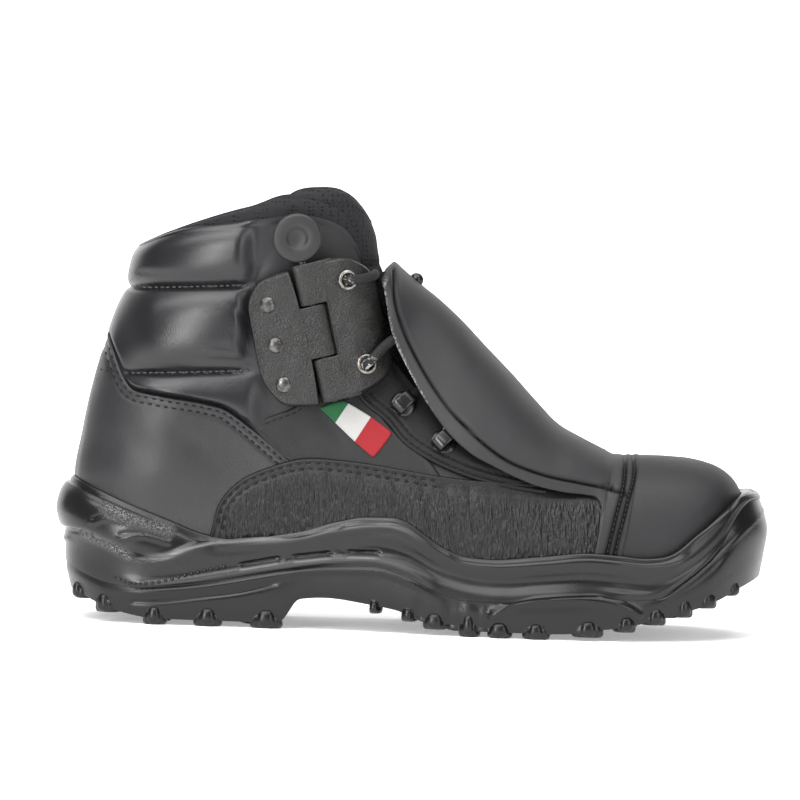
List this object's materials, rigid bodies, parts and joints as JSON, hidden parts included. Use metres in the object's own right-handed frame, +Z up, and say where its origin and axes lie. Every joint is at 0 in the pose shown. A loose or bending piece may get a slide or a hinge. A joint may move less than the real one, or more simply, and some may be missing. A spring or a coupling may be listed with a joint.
{
  "type": "safety boot",
  "caption": "Black ankle-high safety boot with padded collar, outer metatarsal guard over the laces, leather quick-release hinge with pull pin and a lugged sole.",
  "frame": {"origin": "on the floor under the middle of the boot", "axes": "+X towards the toe, +Y towards the inner side of the right foot, +Z up"},
  "size_m": [0.305, 0.1115, 0.1876],
  "materials": {
    "black_leather": "satin",
    "guard_leather": "matte",
    "hinge_leather": "satin",
    "mesh_textile": "matte",
    "footbed": "matte",
    "midsole_pu": "satin",
    "outsole_rubber": "matte",
    "antique_metal": "satin",
    "black_metal": "satin",
    "pull_plastic": "matte",
    "lace_cord": "matte"
  },
  "bodies": {
    "boot": {"upper": "black_leather", "midsole": "midsole_pu", "outsole": "outsole_rubber", "insole": "footbed", "tongue": "mesh_textile", "metatarsal_guard": "guard_leather", "hinge_leaf_rear": "hinge_leather", "hinge_leaf_front": "hinge_leather", "rivet_1": "antique_metal", "rivet_2": "antique_metal", "rivet_3": "antique_metal", "eyelet_outer_1": "antique_metal", "eyelet_outer_2": "antique_metal", "eyelet_inner_1": "antique_metal", "eyelet_inner_2": "antique_metal", "lace_ring_outer_1": "black_metal", "lace_ring_outer_2": "black_metal", "lace_ring_inner_1": "black_metal", "lace_ring_inner_2": "black_metal", "lace": "lace_cord"},
    "release_pin": {"release_pin": "pull_plastic"}
  },
  "joints": [
    {"name": "pin_pull", "type": "slide", "parent": "boot", "child": "release_pin", "axis": [-0.2575, 0, 0.9663], "range_m": [0, 0.058]}
  ]
}
